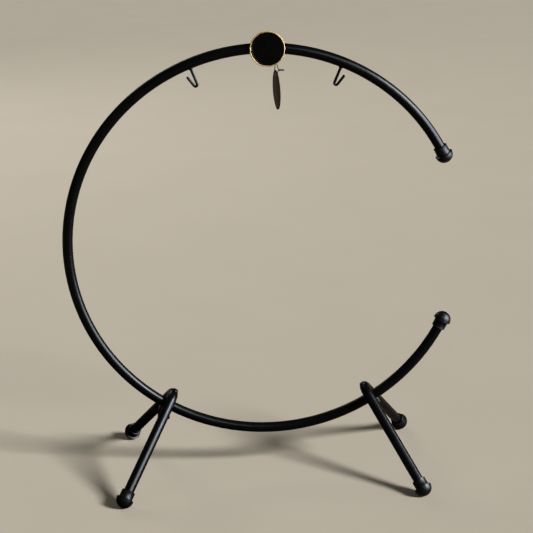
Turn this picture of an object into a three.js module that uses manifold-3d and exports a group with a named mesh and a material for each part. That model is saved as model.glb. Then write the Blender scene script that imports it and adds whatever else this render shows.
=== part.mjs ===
// A round gong stand: an open ring of bent tube on two hairpin legs, with gong hooks, a badge and a hang tag.
// Millimetres, Z up. The origin is on the floor under the middle of the stand's width, and the front faces -Y.

import * as THREE from "three";
import { mergeVertices } from "three/addons/utils/BufferGeometryUtils.js";
import Module from "manifold-3d";

const wasm = await Module();
wasm.setup();

const degree = Math.PI / 180;
const rightAngle = Math.PI / 2;

// Fits
const gap = 0.3;
const holeClearance = 0.4;
const overrun = 5;

// Bent tube, the same stock for the ring and the legs
const tubeRadius = 16;
const tubeWall = 2;
const tubeSides = 20;
const boreSides = 8;
const tubeBore = tubeRadius - tubeWall;

// Ring: its mouth is at the right, its crown is turned a little from straight up
const ringRadius = 619;
const mouthUpperAngle = 26.85 * degree;
const mouthLowerAngle = -25.2 * degree;
const crownTurn = 1.1 * degree;
const ringStep = 5.2 * degree;

// Rubber end caps, one shape for the ring's ends and the feet
const capSleeveLength = 27;
const capSleeveRadius = 21.5;
const capDomeRadius = 27.3;
const capRimRadius = 28;
const capRimEdge = 0.6;
const capClearance = 0.6;
const capLip = 0.8;
const capShoulder = 1.8;
const capDomeSteps = 6;
const capSides = 20;

// Hairpin legs: an arch over the ring's inside, and two straight legs down to the floor
const legAngle = 32.5 * degree;
const legSplay = 38.4 * degree;
const legReach = 248.5;
const archRadius = 42.5;
const archSeat = 5.5;
const archSteps = 14;
const footFlat = 1;

// Clamp of each leg: one long bolt through the arch and the ring, with a wing nut below
const boltRadius = 5;
const boltHeadRadius = 9.5;
const boltHeadHeight = 4.5;
const boltTail = 6;
const spacerHalfWidth = 14;
const spacerGrip = 7.5;
const saddleHalfLength = 17;
const saddleHalfWidth = 20;
const saddleGrip = 10;
const saddleFloor = 12.5;
const saddleEdge = 3;
const washerRadius = 14;
const washerThickness = 2;
const nutHubRadius = 10;
const nutHubHeight = 18;
const nutHubTaper = 2;
const wingSpan = 34;
const wingThickness = 5;
const wingBase = 2;
const wingTop = 17;
const wingCorner = 6;
const nutTurn = { left: -4 * degree, right: 78 * degree };
const smallSides = 16;

// Gong hooks: a bent rod welded to the ring's inside
const hookTurn = 0.8 * degree;
const hookSpread = 21.95 * degree;
const hookRodRadius = 4;
const hookDepth = 74.5;
const hookBendRadius = 5.4;
const hookOpening = 16 * degree;
const hookTipDepth = 37.5;
const hookWeldRadius = 8.5;
const hookWeldHeight = 7;
const hookBendSteps = 8;
const hookSides = 12;

// Badge: a round plate in a bezel, held off the ring's front by a collar
const badgeRadius = 52.75;
const bezelWidth = 3.4;
const bezelDepth = 4.6;
const badgePlateThickness = 3.6;
const collarRadius = 12;
const collarStandoff = 4.3;
const collarGrip = 5;
const studRadius = 3;
const badgeNutRadius = 6.5;
const badgeNutHeight = 8;
const badgeSides = 40;

// Hang tag: a round card on a loop of cord over the ring
const tagRadius = 59.5;
const tagThickness = 1.6;
const tagAcross = 38.8;
const tagDrop = 126.3;
const tagTurn = -82.5 * degree;
const tagLean = -1.3 * degree;
const tagHoleDrop = 12.1;
const tagHoleRadius = 3;
const eyeletWall = 0.6;
const eyeletFlange = 1.6;
const eyeletProud = 0.7;
const tagSides = 40;

// Cord of the tag
const cordRadius = 1.1;
const cordSides = 8;
const cordSteps = 72;
const knotRadius = 3.5;
const tailLength = 16;
const tailSpread = 2.5;
// The cord's route by hand, in the ring's frame: from the knot up over the tube, down through the eyelet and back
const knotPlace = [46.9, 0.8, 552.0];
const cordRoute = [
  [45.2, 1.5, 555.4],
  [43.5, 2.4, 559.1],
  [41.7, 4.4, 566.4],
  [40.5, 7.6, 577.4],
  [39.5, 12.0, 591.4],
  [38.8, 16.0, 605.4],
  [38.6, 17.5, 617.8],
  [39.1, 15.1, 626.5],
  [39.5, 8.7, 632.9],
  [39.7, 0, 635.3],
  [39.5, -8.7, 632.9],
  [39.1, -15.1, 626.5],
  [38.6, -17.5, 617.8],
  [38.2, -16.0, 605.4],
  [37.4, -11.9, 590.9],
  [36.1, -7.2, 576.4],
  [34.7, -3.4, 563.4],
  [33.7, -1.4, 551.9],
  [33.2, -0.6, 544.9],
  [34.5, -0.4, 541.7],
  [37.8, 0, 540.3],
  [41.1, 0.4, 541.7],
  [42.7, 0.6, 544.5],
  [44.8, 0.7, 548.8],
];

// Derived places
const footDrop = ringRadius * Math.cos(legAngle) + legReach * Math.cos(legAngle);
const ringHeight = footDrop + capDomeRadius - footFlat;
const capHalfTurn = capSleeveLength / 2 / ringRadius;
const lowerMiddle = mouthLowerAngle - capHalfTurn;
const lowerReach = ringRadius * (Math.cos(lowerMiddle) - capHalfTurn * Math.sin(lowerMiddle)) + capDomeRadius;
const ringAcross = (ringRadius + tubeRadius - lowerReach) / 2;
const archApex = 2 * tubeRadius + archSeat;
const archCentre = archApex - archRadius;
const archEndY = archRadius * Math.cos(legSplay);
const archEndZ = archCentre + archRadius * Math.sin(legSplay);
const footY = archEndY + (archEndZ + legReach) * Math.tan(legSplay);
const capBore = tubeRadius + capClearance;
const boltHole = boltRadius + holeClearance;
const studHole = studRadius + holeClearance;
const headSeat = archApex + tubeRadius + gap;
const saddleBottom = tubeRadius + saddleFloor;
const washerSeat = saddleBottom + gap;
const nutSeat = washerSeat + washerThickness + gap;
const nutEnd = nutSeat + nutHubHeight;

// Finishes
const finish = (name, color, roughness, metalness) =>
  new THREE.MeshStandardMaterial({ name, color, roughness, metalness });
const powderCoat = finish("black powder coat", 0x121315, 0.42, 0.2);
const rubber = finish("black rubber", 0x17171a, 0.62, 0);
const blackPlastic = finish("black plastic", 0x151517, 0.5, 0);
const darkSteel = finish("black zinc steel", 0x1c1d20, 0.35, 0.8);
const brass = finish("brass trim", 0xb58a3c, 0.3, 0.95);
const badgeBlack = finish("black lacquer", 0x0d0d0f, 0.3, 0.1);
const card = finish("brown card", 0x3a2f27, 0.6, 0);
const nickel = finish("nickel eyelet", 0xb9b8b2, 0.3, 0.9);
const cordBlack = finish("black cord", 0x151413, 0.85, 0);

// A path whose stations are chosen by hand, so that straight runs take a single step
class StationPath extends THREE.Curve {
  constructor(stations) {
    super();
    this.stations = stations;
  }

  station(t) {
    return this.stations[Math.round(t * (this.stations.length - 1))];
  }

  getPointAt(t) {
    return this.station(t).point.clone();
  }

  getTangentAt(t) {
    return this.station(t).tangent.clone();
  }
}

function station(point, tangent) {
  return { point, tangent: tangent.normalize() };
}

function circleShape(radius, sides, bore = 0, holeSides = 0) {
  const ring = (r, count) =>
    Array.from({ length: count }, (_, i) => {
      const a = (2 * Math.PI * i) / count;
      return new THREE.Vector2(r * Math.cos(a), r * Math.sin(a));
    });
  const shape = new THREE.Shape(ring(radius, sides));
  if (bore > 0) shape.holes.push(new THREE.Path(ring(bore, holeSides)));
  return shape;
}

function sweep(shape, stations) {
  const path = new StationPath(stations);
  return new THREE.ExtrudeGeometry(shape, { extrudePath: path, steps: stations.length - 1 });
}

// Solids for joining and cutting
function solid(geometry) {
  const bare = geometry.clone();
  bare.deleteAttribute("normal");
  bare.deleteAttribute("uv");
  const merged = mergeVertices(bare.index ? bare.toNonIndexed() : bare, 1e-4);
  return new wasm.Manifold(
    new wasm.Mesh({
      numProp: 3,
      vertProperties: new Float32Array(merged.attributes.position.array),
      triVerts: new Uint32Array(merged.index.array),
    }),
  );
}

function shell(manifold) {
  const mesh = manifold.getMesh();
  const geometry = new THREE.BufferGeometry();
  geometry.setAttribute("position", new THREE.BufferAttribute(mesh.vertProperties, 3));
  geometry.setIndex(new THREE.BufferAttribute(mesh.triVerts, 1));
  geometry.computeVertexNormals();
  return geometry;
}

function lathe(profile, sides) {
  const points = profile.map(([r, h]) => new THREE.Vector2(r, h));
  return new THREE.LatheGeometry(points, sides).rotateX(rightAngle);
}

function rod(radius, from, to, sides) {
  return lathe([[0, from], [radius, from], [radius, to], [0, to]], sides);
}

function tubeRing(inner, outer, from, to, sides) {
  return lathe([[inner, from], [outer, from], [outer, to], [inner, to], [inner, from]], sides);
}

// A stretch of ring in the ring's own frame, with a station at each angle from +X
function ringStretch(shape, angles) {
  const stations = angles.map((a) => {
    const point = new THREE.Vector3(ringRadius * Math.cos(a), 0, ringRadius * Math.sin(a));
    return station(point, new THREE.Vector3(-Math.sin(a), 0, Math.cos(a)));
  });
  return sweep(shape, stations);
}

// The hairpin's stations in its leg's frame: Z runs in to the ring's centre, the ring crosses at the origin
function hairpinStations() {
  const stations = [];
  const along = new THREE.Vector3(0, Math.sin(legSplay), -Math.cos(legSplay));
  const turn = Math.PI - 2 * legSplay;
  stations.push(station(new THREE.Vector3(0, -footY, -legReach), new THREE.Vector3(0, along.y, -along.z)));
  for (let i = 0; i <= archSteps; i += 1) {
    const a = -turn / 2 + (turn * i) / archSteps;
    const point = new THREE.Vector3(0, archRadius * Math.sin(a), archCentre + archRadius * Math.cos(a));
    stations.push(station(point, new THREE.Vector3(0, Math.cos(a), -Math.sin(a))));
  }
  stations.push(station(new THREE.Vector3(0, footY, -legReach), along));
  return stations;
}

// Cap along +Z: the sleeve's mouth at zero, the dome's centre a sleeve's length on
function capGeometry() {
  const depth = capSleeveLength + capClearance;
  const profile = [
    [0, depth],
    [capBore, depth],
    [capBore, 0],
    [capSleeveRadius - capLip, 0],
    [capSleeveRadius, capLip],
    [capSleeveRadius, capSleeveLength - capShoulder],
    [capRimRadius, capSleeveLength - capRimEdge],
  ];
  for (let i = 0; i <= capDomeSteps; i += 1) {
    const a = (rightAngle * i) / capDomeSteps;
    const r = i === capDomeSteps ? 0 : capDomeRadius * Math.cos(a);
    profile.push([r, capSleeveLength + capDomeRadius * Math.sin(a)]);
  }
  return lathe(profile, capSides);
}

function part(name, geometry, material) {
  const mesh = new THREE.Mesh(geometry, material);
  mesh.name = name;
  return mesh;
}

const stand = new THREE.Group();
const ringFrame = new THREE.Group();
ringFrame.position.set(ringAcross, 0, ringHeight);
stand.add(ringFrame);

function framed(angle, parent = ringFrame) {
  const frame = new THREE.Group();
  frame.rotation.y = angle;
  parent.add(frame);
  return frame;
}

const tubeShape = circleShape(tubeRadius, tubeSides, tubeBore, boreSides);
const tubeEnvelope = circleShape(tubeRadius + gap, tubeSides);

// The bend's stations where something that reaches so far to each side is fitted to the ring
function seatAngles(middle, halfWidth) {
  const half = (halfWidth + overrun) / ringRadius;
  return [middle - half, middle, middle + half];
}

// The space that the ring's tube takes there, with the origin in its middle: seen from the crown, or from a leg
function crownEnvelope(halfWidth) {
  const stretch = ringStretch(tubeEnvelope, seatAngles(rightAngle, halfWidth));
  return solid(stretch.translate(0, 0, -ringRadius));
}

function legEnvelope(halfWidth) {
  const stretch = ringStretch(tubeEnvelope, seatAngles(-rightAngle, halfWidth));
  return solid(stretch.translate(0, 0, ringRadius));
}

// Ring tube, drilled for the two clamp bolts and the badge's stud
function ringTube() {
  const sleeve = capSleeveLength / ringRadius;
  const last = 2 * Math.PI + mouthLowerAngle;
  const crown = rightAngle - crownTurn;
  const hookMiddle = rightAngle - hookTurn;
  const foot = 3 * rightAngle;
  const fixed = [
    mouthUpperAngle,
    mouthUpperAngle + sleeve,
    ...seatAngles(hookMiddle - hookSpread, hookWeldRadius),
    ...seatAngles(crown, collarRadius),
    ...seatAngles(hookMiddle + hookSpread, hookWeldRadius),
    ...seatAngles(foot - legAngle, saddleHalfLength),
    ...seatAngles(foot + legAngle, saddleHalfLength),
    last - sleeve,
    last,
  ];
  const angles = [mouthUpperAngle];
  for (let i = 1; i < fixed.length; i += 1) {
    const steps = Math.ceil((fixed[i] - fixed[i - 1]) / ringStep);
    for (let k = 1; k <= steps; k += 1) angles.push(fixed[i - 1] + ((fixed[i] - fixed[i - 1]) * k) / steps);
  }
  let body = solid(ringStretch(tubeShape, angles));
  const reach = tubeRadius + overrun;
  for (const side of [-1, 1]) {
    const drill = rod(boltHole, -reach, reach, smallSides);
    drill.translate(0, 0, -ringRadius).rotateY(-side * legAngle);
    body = body.subtract(solid(drill));
  }
  const studDrill = rod(studHole, -reach, reach, smallSides).rotateX(rightAngle);
  studDrill.translate(0, 0, ringRadius).rotateY(crownTurn);
  return shell(body.subtract(solid(studDrill)));
}
ringFrame.add(part("ring_tube", ringTube(), powderCoat));

// Caps on the ring's two free ends, each square to the tube at the middle of its sleeve
function addRingCap(name, endAngle, direction) {
  const middle = endAngle + direction * capHalfTurn;
  const cap = part(name, capGeometry().translate(0, 0, -capSleeveLength / 2), rubber);
  cap.position.set(ringRadius * Math.cos(middle), 0, ringRadius * Math.sin(middle));
  cap.rotation.y = direction > 0 ? Math.PI - middle : -middle;
  ringFrame.add(cap);
}
addRingCap("ring_cap_upper", mouthUpperAngle, 1);
addRingCap("ring_cap_lower", mouthLowerAngle, -1);

// Gong hooks
function hookGeometry(side) {
  const bottom = -(hookDepth - hookRodRadius);
  const bendZ = bottom + hookBendRadius;
  const turn = Math.PI - hookOpening;
  const stations = [station(new THREE.Vector3(0, 0, -tubeRadius + overrun), new THREE.Vector3(0, 0, -1))];
  for (let i = 0; i <= hookBendSteps; i += 1) {
    const a = (turn * i) / hookBendSteps;
    const x = hookBendRadius * (1 - Math.cos(a));
    const z = bendZ - hookBendRadius * Math.sin(a);
    stations.push(station(new THREE.Vector3(side * x, 0, z), new THREE.Vector3(side * Math.sin(a), 0, -Math.cos(a))));
  }
  const last = stations[stations.length - 1];
  const run = (-hookTipDepth - last.point.z) / Math.cos(hookOpening);
  const tip = last.point.clone().addScaledVector(last.tangent, run);
  stations.push(station(tip, last.tangent.clone()));
  const end = new THREE.SphereGeometry(hookRodRadius, hookSides, hookSides / 2).translate(tip.x, tip.y, tip.z);
  const weldTop = -tubeRadius + overrun;
  const weldProfile = [
    [0, -tubeRadius - hookWeldHeight],
    [hookRodRadius, -tubeRadius - hookWeldHeight],
    [hookRodRadius + (hookWeldRadius - hookRodRadius) / 3, -tubeRadius - hookWeldHeight / 3],
    [hookWeldRadius, -tubeRadius],
    [hookWeldRadius, weldTop],
    [0, weldTop],
  ];
  const rodSolid = solid(sweep(circleShape(hookRodRadius, hookSides), stations));
  const welded = rodSolid.add(solid(end)).add(solid(lathe(weldProfile, smallSides)));
  return shell(welded.subtract(crownEnvelope(hookWeldRadius)));
}
for (const [name, side] of [["hook_left", -1], ["hook_right", 1]]) {
  const hook = part(name, hookGeometry(side), powderCoat);
  hook.position.z = ringRadius;
  framed(hookTurn + side * hookSpread).add(hook);
}

// Badge, in a frame whose Z points out of the ring's front
const badgeFrame = new THREE.Group();
badgeFrame.position.z = ringRadius;
badgeFrame.rotation.x = rightAngle;
framed(crownTurn).add(badgeFrame);
const plateRadius = badgeRadius - bezelWidth;
const collarFront = tubeRadius + collarStandoff;
const plateBack = collarFront + gap;
const studEnd = tubeRadius + gap + badgeNutHeight / 2;

function badgePlate() {
  const plateFront = plateBack + badgePlateThickness;
  const edge = badgePlateThickness / 6;
  const profile = [
    [0, -studEnd],
    [studRadius, -studEnd],
    [studRadius, plateBack],
    [plateRadius, plateBack],
    [plateRadius, plateFront - edge],
    [plateRadius - edge, plateFront],
    [0, plateFront],
  ];
  return lathe(profile, badgeSides);
}

function badgeBezel() {
  const inner = plateRadius + gap;
  const front = plateBack + bezelDepth;
  const edge = bezelWidth / 4;
  const profile = [
    [inner, plateBack],
    [badgeRadius - edge, plateBack],
    [badgeRadius, plateBack + edge],
    [badgeRadius, front - edge],
    [badgeRadius - edge, front],
    [inner + edge, front],
    [inner, front - edge],
    [inner, plateBack],
  ];
  return lathe(profile, badgeSides);
}

function badgeCollar() {
  const body = solid(tubeRing(studHole, collarRadius, tubeRadius - collarGrip, collarFront, smallSides));
  const stretch = shell(crownEnvelope(collarRadius)).rotateX(-rightAngle);
  return shell(body.subtract(solid(stretch)));
}

function badgeNut() {
  const bore = studRadius + gap;
  const depth = badgeNutHeight / 2 + gap;
  const profile = [
    [0, depth],
    [bore, depth],
    [bore, 0],
    [badgeNutRadius, 0],
    [badgeNutRadius, badgeNutHeight / 2],
    [badgeNutRadius * Math.cos(rightAngle / 3), badgeNutHeight * Math.cos(rightAngle / 3)],
    [badgeNutRadius / 2, badgeNutHeight],
    [0, badgeNutHeight],
  ];
  return lathe(profile, smallSides).rotateX(Math.PI).translate(0, 0, -tubeRadius - gap);
}
badgeFrame.add(
  part("badge_collar", badgeCollar(), blackPlastic),
  part("badge_plate", badgePlate(), badgeBlack),
  part("badge_bezel", badgeBezel(), brass),
  part("badge_nut", badgeNut(), darkSteel),
);

// Hang tag: the card and its eyelet, turned edge on to the front and leaning a little
const tagLeanFrame = framed(tagLean);
tagLeanFrame.position.set(tagAcross, 0, ringRadius - tagDrop);
const tagFrame = new THREE.Group();
tagFrame.rotation.z = tagTurn;
tagLeanFrame.add(tagFrame);

function tagCard() {
  const disc = solid(rod(tagRadius, -tagThickness / 2, tagThickness / 2, tagSides).rotateX(rightAngle));
  const punch = rod(tagHoleRadius, -overrun, overrun, smallSides).rotateX(rightAngle);
  return shell(disc.subtract(solid(punch.translate(0, 0, tagRadius - tagHoleDrop))));
}

function tagEyelet() {
  const neck = tagHoleRadius - gap;
  const bore = neck - eyeletWall;
  const brim = tagHoleRadius + eyeletFlange;
  const face = tagThickness / 2 + gap;
  const crest = face + eyeletProud;
  const profile = [
    [bore, -crest],
    [brim, -crest],
    [brim, -face],
    [neck, -face],
    [neck, face],
    [brim, face],
    [brim, crest],
    [bore, crest],
    [bore, -crest],
  ];
  return lathe(profile, smallSides).rotateX(rightAngle).translate(0, 0, tagRadius - tagHoleDrop);
}
tagFrame.add(part("tag_card", tagCard(), card), part("tag_eyelet", tagEyelet(), nickel));

// Cord of the tag, and its knot with the two cut ends
function tagCord() {
  const curve = new THREE.CatmullRomCurve3(cordRoute.map((point) => new THREE.Vector3(...point)));
  return new THREE.ExtrudeGeometry(circleShape(cordRadius, cordSides), { extrudePath: curve, steps: cordSteps });
}

function tagKnot() {
  let knot = solid(new THREE.SphereGeometry(knotRadius, hookSides, hookSides / 2));
  for (const side of [-1, 1]) {
    const tail = rod(cordRadius, 0, tailLength, cordSides).rotateY(rightAngle);
    knot = knot.add(solid(tail.translate(0, 0, (side * tailSpread) / 2)));
  }
  return shell(knot);
}
const knot = part("tag_knot", tagKnot(), cordBlack);
knot.position.set(...knotPlace);
ringFrame.add(part("tag_cord", tagCord(), cordBlack), knot);

// Legs and their clamps, each in a frame at the ring's tube whose Z runs in to the ring's centre
const legShape = hairpinStations();
const boltDrill = solid(rod(boltHole, -nutEnd, headSeat + overrun, smallSides));
const hairpinEnvelope = solid(sweep(tubeEnvelope, legShape));

const legTube = shell(solid(sweep(tubeShape, legShape)).subtract(boltDrill));

function clampSpacer() {
  const bottom = tubeRadius - spacerGrip;
  const top = tubeRadius + archSeat + spacerGrip;
  const block = new THREE.BoxGeometry(2 * spacerHalfWidth, 2 * spacerHalfWidth, top - bottom);
  block.translate(0, 0, (top + bottom) / 2);
  const seated = solid(block).subtract(legEnvelope(saddleHalfLength)).subtract(hairpinEnvelope);
  return shell(seated.subtract(boltDrill));
}

function clampSaddle() {
  const outline = new THREE.Shape();
  const top = saddleGrip - tubeRadius;
  outline.moveTo(-saddleHalfWidth, top);
  outline.lineTo(-saddleHalfWidth, saddleEdge - saddleBottom);
  outline.quadraticCurveTo(-saddleHalfWidth, -saddleBottom, saddleEdge - saddleHalfWidth, -saddleBottom);
  outline.lineTo(saddleHalfWidth - saddleEdge, -saddleBottom);
  outline.quadraticCurveTo(saddleHalfWidth, -saddleBottom, saddleHalfWidth, saddleEdge - saddleBottom);
  outline.lineTo(saddleHalfWidth, top);
  const options = { depth: 2 * saddleHalfLength, bevelEnabled: false, curveSegments: 3 };
  const block = new THREE.ExtrudeGeometry(outline, options);
  block.translate(0, 0, -saddleHalfLength).rotateX(rightAngle).rotateZ(rightAngle);
  return shell(solid(block).subtract(legEnvelope(saddleHalfLength)).subtract(boltDrill));
}

function clampBolt() {
  const end = nutEnd + boltTail;
  const edge = boltRadius / 5;
  const profile = [
    [0, -end],
    [boltRadius - edge, -end],
    [boltRadius, edge - end],
    [boltRadius, headSeat],
    [boltHeadRadius, headSeat],
    [boltHeadRadius, headSeat + boltHeadHeight / 3],
    [boltHeadRadius * Math.cos(rightAngle / 3), headSeat + (boltHeadHeight * 3) / 4],
    [boltHeadRadius / 2, headSeat + boltHeadHeight],
    [0, headSeat + boltHeadHeight],
  ];
  return lathe(profile, smallSides);
}

const clampWasher = tubeRing(boltHole, washerRadius, -washerSeat - washerThickness, -washerSeat, smallSides);

// Wing nut along +Z from its seat, its wings along X
function wingNut() {
  const bore = boltRadius + gap;
  const hubEnd = nutHubRadius - nutHubTaper;
  const profile = [[bore, 0], [nutHubRadius, 0], [hubEnd, nutHubHeight], [bore, nutHubHeight], [bore, 0]];
  let nut = solid(lathe(profile, smallSides));
  const root = (bore + hubEnd) / 2;
  const outline = new THREE.Shape();
  outline.moveTo(root, wingBase);
  outline.lineTo(wingSpan - wingCorner, wingBase + wingBase);
  outline.quadraticCurveTo(wingSpan, wingBase + wingBase, wingSpan, wingBase + wingBase + wingCorner);
  outline.lineTo(wingSpan, wingTop - wingCorner);
  outline.quadraticCurveTo(wingSpan, wingTop, wingSpan - wingCorner, wingTop);
  outline.quadraticCurveTo(wingSpan / 2, wingTop, root, wingTop - wingCorner);
  const options = { depth: wingThickness, bevelEnabled: false, curveSegments: 3 };
  for (const turn of [0, Math.PI]) {
    const wing = new THREE.ExtrudeGeometry(outline, options).translate(0, 0, -wingThickness / 2);
    nut = nut.add(solid(wing.rotateX(rightAngle).rotateZ(turn)));
  }
  return shell(nut);
}

// Foot caps: the dome is pressed flat where it stands on the floor
function footCap(legGroup, side) {
  const cap = capGeometry().translate(0, 0, -capSleeveLength);
  cap.rotateX(side * (Math.PI + legSplay)).translate(0, side * footY, -legReach);
  const foot = legGroup.localToWorld(new THREE.Vector3(0, side * footY, -legReach));
  const size = 8 * capDomeRadius;
  const above = new THREE.BoxGeometry(size, size, size).translate(foot.x, foot.y, size / 2);
  above.applyMatrix4(legGroup.matrixWorld.clone().invert());
  return shell(solid(cap).intersect(solid(above)));
}

function addLeg(name, side) {
  const leg = new THREE.Group();
  leg.position.z = -ringRadius;
  framed(-side * legAngle).add(leg);
  stand.updateMatrixWorld(true);
  leg.add(
    part(`leg_${name}`, legTube.clone(), powderCoat),
    part(`clamp_spacer_${name}`, clampSpacer(), blackPlastic),
    part(`clamp_bolt_${name}`, clampBolt(), darkSteel),
    part(`clamp_saddle_${name}`, clampSaddle(), blackPlastic),
    part(`clamp_washer_${name}`, clampWasher.clone(), darkSteel),
    part(`foot_cap_${name}_front`, footCap(leg, -1), rubber),
    part(`foot_cap_${name}_rear`, footCap(leg, 1), rubber),
  );
  const nut = part(`wing_nut_${name}`, wingNut(), blackPlastic);
  nut.position.z = -nutSeat;
  nut.rotation.set(Math.PI, 0, nutTurn[name]);
  leg.add(nut);
}
addLeg("left", -1);
addLeg("right", 1);

export default stand;
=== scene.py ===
import math

import bmesh
import bpy
from mathutils import Matrix, Vector


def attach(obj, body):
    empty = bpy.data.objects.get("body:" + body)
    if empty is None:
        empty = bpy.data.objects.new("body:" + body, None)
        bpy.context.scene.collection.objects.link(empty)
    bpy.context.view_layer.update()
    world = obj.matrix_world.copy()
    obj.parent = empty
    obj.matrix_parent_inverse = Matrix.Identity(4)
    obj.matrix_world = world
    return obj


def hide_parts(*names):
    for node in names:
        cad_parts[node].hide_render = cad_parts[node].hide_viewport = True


# A round gong stand, dressed around its frame. Metres, Z up, the front faces -Y.
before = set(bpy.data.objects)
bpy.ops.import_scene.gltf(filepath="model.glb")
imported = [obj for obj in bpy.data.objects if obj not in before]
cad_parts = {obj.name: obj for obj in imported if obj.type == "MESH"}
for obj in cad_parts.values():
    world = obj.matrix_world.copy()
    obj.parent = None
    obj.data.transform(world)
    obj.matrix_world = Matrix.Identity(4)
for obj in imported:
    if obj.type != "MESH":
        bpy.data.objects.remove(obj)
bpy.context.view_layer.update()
print("frame loaded:", len(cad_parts), "nodes")

fullTurn = 2 * math.pi
rightAngle = math.pi / 2
creaseAngle = math.radians(38)  # an edge sharper than this keeps a crisp shade
mergeDistance = 1e-6

tube = {
    "radius": 0.016, "wall": 0.002, "sides": 48, "seat": 0.0001, "boltHole": 0.0054,
    "drillReach": 0.021, "drillSides": 32, "cutterSteps": 8,
}
ring = {"radius": 0.619, "upperEnd": 26.85, "lowerEnd": -25.2, "crownTurn": 1.1, "steps": 220}
legs = {"angle": 32.5, "splay": 38.4, "reach": 0.2485}
arch = {"radius": 0.0425, "seat": 0.0055, "steps": 40}
caps = {
    "sleeveLength": 0.027, "sleeveRadius": 0.0211, "sleeveTaper": 0.0006, "lip": 0.0013,
    "lipProud": 0.0004, "lipStep": 0.0006, "bore": 0.0162, "roof": 0.0005,
    "mouthChamfer": 0.0012, "mouthRound": 0.0004,
    "fillet": [(0, 0.0012), (0.0003, 0.0004), (0.0010, 0)],
    "domeRadius": 0.0273, "rimRadius": 0.028, "rimTurn": 0.0007, "rimEdge": 0.0005,
    "rimShares": [(1, -1), (0.3, -0.7), (0, 0)],
    "rimBackShare": 0.2, "shoulder": 0.0018, "footFlat": 0.001, "domeSteps": 20,
    "sides": 72,
}

# Where the frames of the pieces are
legAngle = math.radians(legs["angle"])
legSplay = math.radians(legs["splay"])
footDrop = (ring["radius"] + legs["reach"]) * math.cos(legAngle)
ringHeight = footDrop + caps["domeRadius"] - caps["footFlat"]
halfCap = caps["sleeveLength"] / 2 / ring["radius"]
lowerMiddle = math.radians(ring["lowerEnd"]) - halfCap
lowerReach = ring["radius"] * (math.cos(lowerMiddle) - halfCap * math.sin(lowerMiddle))
lowerReach += caps["domeRadius"]
ringAcross = (ring["radius"] + tube["radius"] - lowerReach) / 2
ringFrame = Matrix.Translation((ringAcross, 0, ringHeight))
crownTurn = math.radians(ring["crownTurn"])


def intoScene(name, data):
    made = bpy.data.objects.new(name, data)
    bpy.context.scene.collection.objects.link(made)
    return made


def turned(angle, axis):
    return Matrix.Rotation(angle, 4, axis)


def shifted(x, y, z):
    return Matrix.Translation((x, y, z))


def crownFrame(angle):
    return ringFrame @ turned(angle, "Y") @ shifted(0, 0, ring["radius"])


def legFrame(side):
    return ringFrame @ turned(-side * legAngle, "Y") @ shifted(0, 0, -ring["radius"])


# Camera, at the photograph's viewing angle
cameraSet = {
    "place": (-0.15138, -3.81708, 1.92366),
    "turn": 2.6063, "lookDown": 17.8656, "roll": -1.0446, "lens": 86.12, "sensor": 36,
    "clip": (0.05, 60),
}


def addCamera():
    data = bpy.data.cameras.new("photoCamera")
    data.sensor_width = cameraSet["sensor"]
    data.lens = cameraSet["lens"]
    data.clip_start, data.clip_end = cameraSet["clip"]
    camera = intoScene("photoCamera", data)
    turn = turned(-math.radians(cameraSet["turn"]), "Z")
    tilt = turned(rightAngle - math.radians(cameraSet["lookDown"]), "X")
    roll = turned(math.radians(cameraSet["roll"]), "Z")
    camera.matrix_world = shifted(*cameraSet["place"]) @ turn @ tilt @ roll
    bpy.context.scene.camera = camera


addCamera()
print("camera placed")


# Small tools for the node materials
def addNode(tree, kind, inputs=None, **settings):
    node = tree.nodes.new(kind)
    for name, value in settings.items():
        setattr(node, name, value)
    for name, value in (inputs or {}).items():
        if isinstance(value, bpy.types.NodeSocket):
            tree.links.new(value, node.inputs[name])
        else:
            node.inputs[name].default_value = value
    return node


def noiseOf(tree, point, scale, detail=2.0, roughness=0.5, distortion=0.0):
    settings = {"Vector": point, "Scale": scale, "Detail": detail}
    settings.update({"Roughness": roughness, "Distortion": distortion})
    return addNode(tree, "ShaderNodeTexNoise", settings).outputs["Fac"]


def mapped(tree, value, fromLow, fromHigh, toLow=0.0, toHigh=1.0):
    settings = {"Value": value, "From Min": fromLow, "From Max": fromHigh}
    settings.update({"To Min": toLow, "To Max": toHigh})
    return addNode(tree, "ShaderNodeMapRange", settings).outputs["Result"]


def reckon(tree, operation, first, second=0.0):
    return addNode(tree, "ShaderNodeMath", {0: first, 1: second}, operation=operation).outputs[0]


def reckonVectors(tree, operation, *inputs):
    inputs = dict(enumerate(inputs))
    return addNode(tree, "ShaderNodeVectorMath", inputs, operation=operation).outputs


def mixed(tree, share, first, second):
    node = addNode(tree, "ShaderNodeMix", {0: share, 6: first, 7: second}, data_type="RGBA")
    return node.outputs[2]


def bumped(tree, height, distance, strength=1.0, under=None):
    settings = {"Height": height, "Distance": distance, "Strength": strength}
    if under is not None:
        settings["Normal"] = under
    return addNode(tree, "ShaderNodeBump", settings).outputs["Normal"]


def startFinish(name, constants):
    material = bpy.data.materials.new(name)
    material.use_nodes = True
    tree = material.node_tree
    shader = tree.nodes["Principled BSDF"]
    for socket, value in constants.items():
        shader.inputs[socket].default_value = value
    point = addNode(tree, "ShaderNodeTexCoord").outputs["Object"]
    return material, tree, shader, point


def localPoint(tree, point, place):
    inverse = place.inverted()
    node = addNode(tree, "ShaderNodeMapping", {"Vector": point}, vector_type="POINT")
    node.inputs["Location"].default_value = inverse.to_translation()
    node.inputs["Rotation"].default_value = inverse.to_euler()
    return node.outputs["Vector"]


def link(tree, output, shader, socket):
    tree.links.new(output, shader.inputs[socket])


def awayFromAxis(tree, point, place, flat):
    # distance from the axis of a piece's own frame
    across = reckonVectors(tree, "MULTIPLY", localPoint(tree, point, place), flat)["Vector"]
    return reckonVectors(tree, "LENGTH", across)["Value"]


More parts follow.
